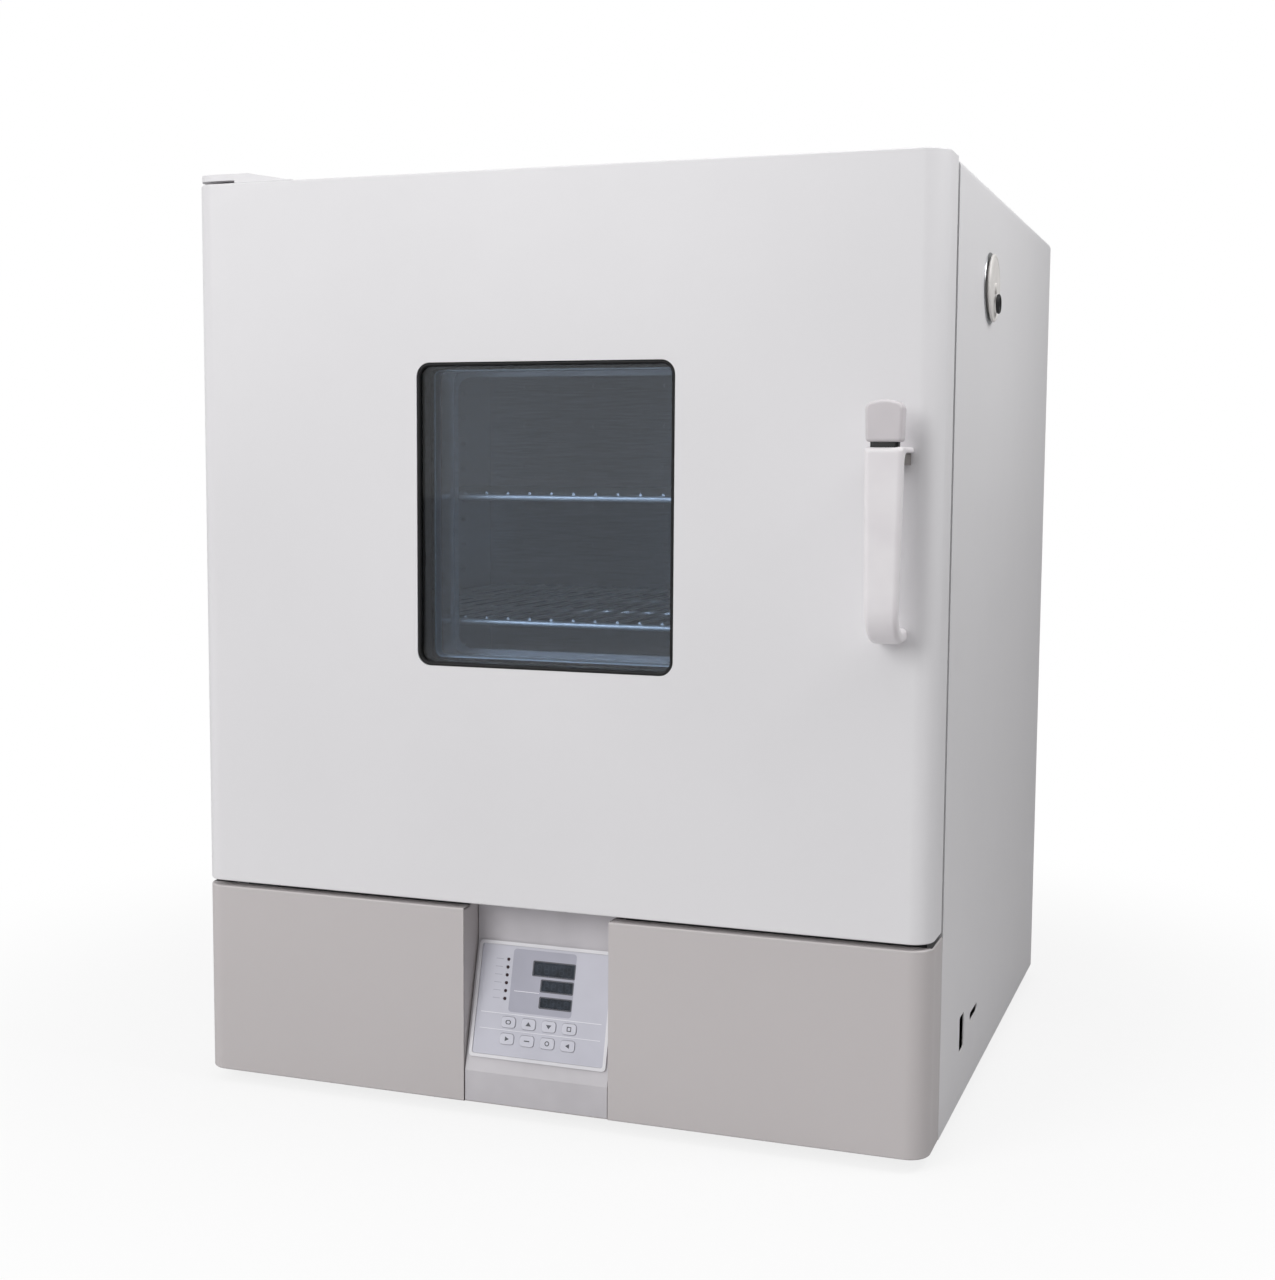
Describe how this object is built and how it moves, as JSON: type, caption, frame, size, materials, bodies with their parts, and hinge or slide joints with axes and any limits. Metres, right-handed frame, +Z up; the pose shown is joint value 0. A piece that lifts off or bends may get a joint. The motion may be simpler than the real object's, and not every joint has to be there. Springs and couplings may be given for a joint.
{
  "type": "forced-air drying oven",
  "caption": "Bench forced-air drying oven: windowed hinged door with a push-button latch handle, sloping control console, wire shelves, side cable port and rear exhaust.",
  "frame": {"origin": "under the middle of the oven, on the surface that its feet stand on", "axes": "+Z up, the door faces -Y, +X to the right of someone who faces the door"},
  "size_m": [0.7203, 0.748, 0.8734],
  "materials": {
    "enamel_light": "satin powder coat",
    "enamel_grey": "satin powder coat",
    "stainless": "brushed",
    "shelf_wire": "bright drawn wire",
    "heater_sheath": "heat darkened",
    "zinc_steel": "zinc plated",
    "aluminium": "plain",
    "bush_bronze": "turned",
    "insulation": "glass wool",
    "rubber_black": "matte",
    "silicone_grey": "matte silicone",
    "port_rubber": "matte silicone",
    "glass": "polished",
    "spacer": "black anodised",
    "handle_plastic": "satin moulded",
    "button_plastic": "satin moulded",
    "console_plastic": "satin",
    "membrane": "printed film",
    "display_lens": "smoked lens",
    "lamp": "tinted lens",
    "key": "domed pad",
    "pcb": "solder resist",
    "motor_paint": "painted",
    "breaker_case": "moulded",
    "breaker_toggle": "moulded",
    "black_plastic": "moulded"
  },
  "bodies": {
    "cabinet": {"outer_casing": "enamel_light", "back_cover": "enamel_light", "upper_hinge_bracket": "enamel_light", "lower_front_cover": "enamel_grey", "chamber_tank": "stainless", "front_frame": "stainless", "rear_air_baffle": "stainless", "floor_air_baffle": "stainless", "shelf_uprights": "stainless", "shelf_clips": "stainless", "temperature_sensors": "stainless", "heater_element": "heater_sheath", "partition_plate": "zinc_steel", "base_plate": "zinc_steel", "lower_hinge_bracket": "zinc_steel", "latch_strike": "zinc_steel", "cabinet_screws": "zinc_steel", "power_unit": "aluminium", "exhaust_flange": "aluminium", "cable_port_sleeve": "aluminium", "cabinet_insulation": "insulation", "feet": "rubber_black", "control_console": "console_plastic", "control_membrane": "membrane", "display_windows": "display_lens", "status_lamps": "lamp", "control_board": "pcb", "fan_motor": "motor_paint", "breaker_body": "breaker_case", "cord_gland": "black_plastic"},
    "door": {"door_skin": "enamel_light", "door_inner_panel": "stainless", "door_gasket": "silicone_grey", "window_gasket": "rubber_black", "window_glass_outer": "glass", "glass_spacer": "spacer", "window_glass_inner": "glass", "window_reveal": "stainless", "door_insulation": "insulation", "handle": "handle_plastic", "latch_bracket": "zinc_steel", "hinge_bushes": "bush_bronze"},
    "fan": {"fan_wheel": "aluminium", "fan_shaft": "zinc_steel"},
    "exhaust_shutter": {"exhaust_shutter": "black_plastic"},
    "cable_port_plug": {"cable_port_plug": "port_rubber"},
    "breaker_lever": {"breaker_lever": "breaker_toggle"},
    "handle_button": {"handle_button": "button_plastic"},
    "latch_hook": {"latch_hook": "zinc_steel"},
    "shelf_lower": {"shelf_lower": "shelf_wire"},
    "shelf_upper": {"shelf_upper": "shelf_wire"},
    "key_1": {"key_1": "key"},
    "key_2": {"key_2": "key"},
    "key_3": {"key_3": "key"},
    "key_4": {"key_4": "key"},
    "key_5": {"key_5": "key"},
    "key_6": {"key_6": "key"},
    "key_7": {"key_7": "key"},
    "key_8": {"key_8": "key"}
  },
  "joints": [
    {"name": "door_hinge", "type": "hinge", "parent": "cabinet", "child": "door", "pos_m": [-0.345, -0.29, 0.531], "axis": [0, 0, -1], "range_deg": [0, 120]},
    {"name": "handle_button_press", "type": "slide", "parent": "door", "child": "handle_button", "axis": [0, 0, -1], "range_m": [0, 0.0035], "stiffness_N_per_m": 1200, "springref_m": -0.002},
    {"name": "latch_rock", "type": "hinge", "parent": "door", "child": "latch_hook", "pos_m": [0.321, -0.314, 0.612], "axis": [1, 0, 0], "range_deg": [0, 3.72]},
    {"name": "fan_spin", "type": "hinge", "parent": "cabinet", "child": "fan", "pos_m": [0, -0.02, 0.27], "axis": [0, 0, 1], "continuous": true},
    {"name": "shelf_lower_lift", "type": "slide", "parent": "cabinet", "child": "shelf_lower", "axis": [0, 0, 1], "range_m": [0, 0.03]},
    {"name": "shelf_upper_lift", "type": "slide", "parent": "cabinet", "child": "shelf_upper", "axis": [0, 0, 1], "range_m": [0, 0.03]},
    {"name": "breaker_toggle", "type": "hinge", "parent": "cabinet", "child": "breaker_lever", "pos_m": [0.34, -0.1575, 0.076], "axis": [0, 1, 0], "range_deg": [0, 44]},
    {"name": "port_plug_pull", "type": "slide", "parent": "cabinet", "child": "cable_port_plug", "axis": [1, 0, 0], "range_m": [0, 0.055]},
    {"name": "exhaust_turn", "type": "hinge", "parent": "cabinet", "child": "exhaust_shutter", "pos_m": [-0.18, 0.362, 0.767], "axis": [0, 1, 0], "range_deg": [0, 90]},
    {"name": "key_1_press", "type": "slide", "parent": "cabinet", "child": "key_1", "axis": [0, 0.9659, -0.2588], "range_m": [0, 0.0006], "stiffness_N_per_m": 600, "springref_m": -0.0006},
    {"name": "key_2_press", "type": "slide", "parent": "cabinet", "child": "key_2", "axis": [0, 0.9659, -0.2588], "range_m": [0, 0.0006], "stiffness_N_per_m": 600, "springref_m": -0.0006},
    {"name": "key_3_press", "type": "slide", "parent": "cabinet", "child": "key_3", "axis": [0, 0.9659, -0.2588], "range_m": [0, 0.0006], "stiffness_N_per_m": 600, "springref_m": -0.0006},
    {"name": "key_4_press", "type": "slide", "parent": "cabinet", "child": "key_4", "axis": [0, 0.9659, -0.2588], "range_m": [0, 0.0006], "stiffness_N_per_m": 600, "springref_m": -0.0006},
    {"name": "key_5_press", "type": "slide", "parent": "cabinet", "child": "key_5", "axis": [0, 0.9659, -0.2588], "range_m": [0, 0.0006], "stiffness_N_per_m": 600, "springref_m": -0.0006},
    {"name": "key_6_press", "type": "slide", "parent": "cabinet", "child": "key_6", "axis": [0, 0.9659, -0.2588], "range_m": [0, 0.0006], "stiffness_N_per_m": 600, "springref_m": -0.0006},
    {"name": "key_7_press", "type": "slide", "parent": "cabinet", "child": "key_7", "axis": [0, 0.9659, -0.2588], "range_m": [0, 0.0006], "stiffness_N_per_m": 600, "springref_m": -0.0006},
    {"name": "key_8_press", "type": "slide", "parent": "cabinet", "child": "key_8", "axis": [0, 0.9659, -0.2588], "range_m": [0, 0.0006], "stiffness_N_per_m": 600, "springref_m": -0.0006}
  ],
  "couplings": [
    {"joint": "latch_rock", "follows": "handle_button_press", "rad_per_m": 18.518}
  ]
}
